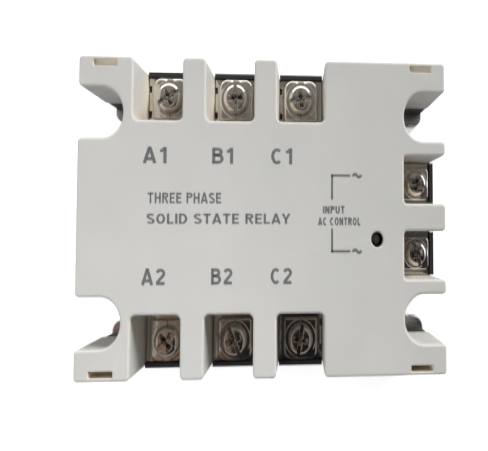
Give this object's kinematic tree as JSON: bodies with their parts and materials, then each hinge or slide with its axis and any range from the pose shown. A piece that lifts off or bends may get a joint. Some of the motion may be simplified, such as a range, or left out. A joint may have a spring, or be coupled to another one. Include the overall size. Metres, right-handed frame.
{
  "type": "solid state relay",
  "caption": "Three-phase solid state relay: cream cover on a black frame and aluminium plate, with barriered screw terminals along both long sides and at one end.",
  "frame": {"origin": "centre of the mounting face, the underside of the aluminium plate", "axes": "+Z out of the cover's face, away from the heat sink; +X along the length, towards the input terminals; +Y towards the row of terminals a1, b1 and c1"},
  "size_m": [0.105, 0.074, 0.033],
  "materials": {
    "cover_plastic": "fine moulded texture",
    "frame_plastic": "satin black, glass filled",
    "plate_aluminium": "milled, satin",
    "tinned_lug": "tin plated",
    "nickel_steel": "nickel plated, bright",
    "alumina": "fired ceramic",
    "silicon": "polished",
    "potting": "cast",
    "board_laminate": "solder mask",
    "chip_epoxy": "moulded",
    "capacitor_film": "dipped",
    "led_lens": "smoked, clear"
  },
  "bodies": {
    "body": {"top_cover": "cover_plastic", "terminal_frame": "frame_plastic", "base_plate": "plate_aluminium", "power_lug_a1": "tinned_lug", "power_nut_a1": "nickel_steel", "power_lug_b1": "tinned_lug", "power_nut_b1": "nickel_steel", "power_lug_c1": "tinned_lug", "power_nut_c1": "nickel_steel", "power_lug_a2": "tinned_lug", "power_nut_a2": "nickel_steel", "power_lug_b2": "tinned_lug", "power_nut_b2": "nickel_steel", "power_lug_c2": "tinned_lug", "power_nut_c2": "nickel_steel", "input_lug_1": "tinned_lug", "input_nut_1": "nickel_steel", "input_lug_2": "tinned_lug", "input_nut_2": "nickel_steel", "ceramic_substrate": "alumina", "thyristor_a1": "silicon", "thyristor_a2": "silicon", "optocoupler_a": "chip_epoxy", "snubber_capacitor_a": "capacitor_film", "thyristor_b1": "silicon", "thyristor_b2": "silicon", "optocoupler_b": "chip_epoxy", "snubber_capacitor_b": "capacitor_film", "thyristor_c1": "silicon", "thyristor_c2": "silicon", "optocoupler_c": "chip_epoxy", "snubber_capacitor_c": "capacitor_film", "potting_compound": "potting", "circuit_board": "board_laminate", "input_rectifier": "chip_epoxy", "status_led": "led_lens"},
    "clamp_a1": {"power_clamp_a1": "nickel_steel"},
    "screw_a1": {"power_screw_a1": "nickel_steel"},
    "clamp_b1": {"power_clamp_b1": "nickel_steel"},
    "screw_b1": {"power_screw_b1": "nickel_steel"},
    "clamp_c1": {"power_clamp_c1": "nickel_steel"},
    "screw_c1": {"power_screw_c1": "nickel_steel"},
    "clamp_a2": {"power_clamp_a2": "nickel_steel"},
    "screw_a2": {"power_screw_a2": "nickel_steel"},
    "clamp_b2": {"power_clamp_b2": "nickel_steel"},
    "screw_b2": {"power_screw_b2": "nickel_steel"},
    "clamp_c2": {"power_clamp_c2": "nickel_steel"},
    "screw_c2": {"power_screw_c2": "nickel_steel"},
    "clamp_in1": {"input_clamp_1": "nickel_steel"},
    "screw_in1": {"input_screw_1": "nickel_steel"},
    "clamp_in2": {"input_clamp_2": "nickel_steel"},
    "screw_in2": {"input_screw_2": "nickel_steel"}
  },
  "joints": [
    {"name": "a1_clamp_lift", "type": "slide", "parent": "body", "child": "clamp_a1", "axis": [0, 0, 1], "range_m": [0, 0.00263]},
    {"name": "a1_screw_turn", "type": "hinge", "parent": "clamp_a1", "child": "screw_a1", "pos_m": [-0.0306, 0.0302, 0.018], "axis": [0, 0, 1], "range_deg": [0, 1360]},
    {"name": "b1_clamp_lift", "type": "slide", "parent": "body", "child": "clamp_b1", "axis": [0, 0, 1], "range_m": [0, 0.00263]},
    {"name": "b1_screw_turn", "type": "hinge", "parent": "clamp_b1", "child": "screw_b1", "pos_m": [-0.0103, 0.0302, 0.018], "axis": [0, 0, 1], "range_deg": [0, 1360]},
    {"name": "c1_clamp_lift", "type": "slide", "parent": "body", "child": "clamp_c1", "axis": [0, 0, 1], "range_m": [0, 0.00263]},
    {"name": "c1_screw_turn", "type": "hinge", "parent": "clamp_c1", "child": "screw_c1", "pos_m": [0.01, 0.0302, 0.018], "axis": [0, 0, 1], "range_deg": [0, 1360]},
    {"name": "a2_clamp_lift", "type": "slide", "parent": "body", "child": "clamp_a2", "axis": [0, 0, 1], "range_m": [0, 0.00263]},
    {"name": "a2_screw_turn", "type": "hinge", "parent": "clamp_a2", "child": "screw_a2", "pos_m": [-0.0306, -0.0302, 0.018], "axis": [0, 0, 1], "range_deg": [0, 1360]},
    {"name": "b2_clamp_lift", "type": "slide", "parent": "body", "child": "clamp_b2", "axis": [0, 0, 1], "range_m": [0, 0.00263]},
    {"name": "b2_screw_turn", "type": "hinge", "parent": "clamp_b2", "child": "screw_b2", "pos_m": [-0.0103, -0.0302, 0.018], "axis": [0, 0, 1], "range_deg": [0, 1360]},
    {"name": "c2_clamp_lift", "type": "slide", "parent": "body", "child": "clamp_c2", "axis": [0, 0, 1], "range_m": [0, 0.00263]},
    {"name": "c2_screw_turn", "type": "hinge", "parent": "clamp_c2", "child": "screw_c2", "pos_m": [0.01, -0.0302, 0.018], "axis": [0, 0, 1], "range_deg": [0, 1360]},
    {"name": "in1_clamp_lift", "type": "slide", "parent": "body", "child": "clamp_in1", "axis": [0, 0, 1], "range_m": [0, 0.00225]},
    {"name": "in1_screw_turn", "type": "hinge", "parent": "clamp_in1", "child": "screw_in1", "pos_m": [0.0466, 0.00895, 0.018], "axis": [0, 0, 1], "range_deg": [0, 1360]},
    {"name": "in2_clamp_lift", "type": "slide", "parent": "body", "child": "clamp_in2", "axis": [0, 0, 1], "range_m": [0, 0.00225]},
    {"name": "in2_screw_turn", "type": "hinge", "parent": "clamp_in2", "child": "screw_in2", "pos_m": [0.0466, -0.00895, 0.018], "axis": [0, 0, 1], "range_deg": [0, 1360]}
  ],
  "couplings": [
    {"joint": "a1_screw_turn", "follows": "a1_clamp_lift", "rad_per_m": 8976},
    {"joint": "b1_screw_turn", "follows": "b1_clamp_lift", "rad_per_m": 8976},
    {"joint": "c1_screw_turn", "follows": "c1_clamp_lift", "rad_per_m": 8976},
    {"joint": "a2_screw_turn", "follows": "a2_clamp_lift", "rad_per_m": 8976},
    {"joint": "b2_screw_turn", "follows": "b2_clamp_lift", "rad_per_m": 8976},
    {"joint": "c2_screw_turn", "follows": "c2_clamp_lift", "rad_per_m": 8976},
    {"joint": "in1_screw_turn", "follows": "in1_clamp_lift", "rad_per_m": 10472},
    {"joint": "in2_screw_turn", "follows": "in2_clamp_lift", "rad_per_m": 10472}
  ]
}
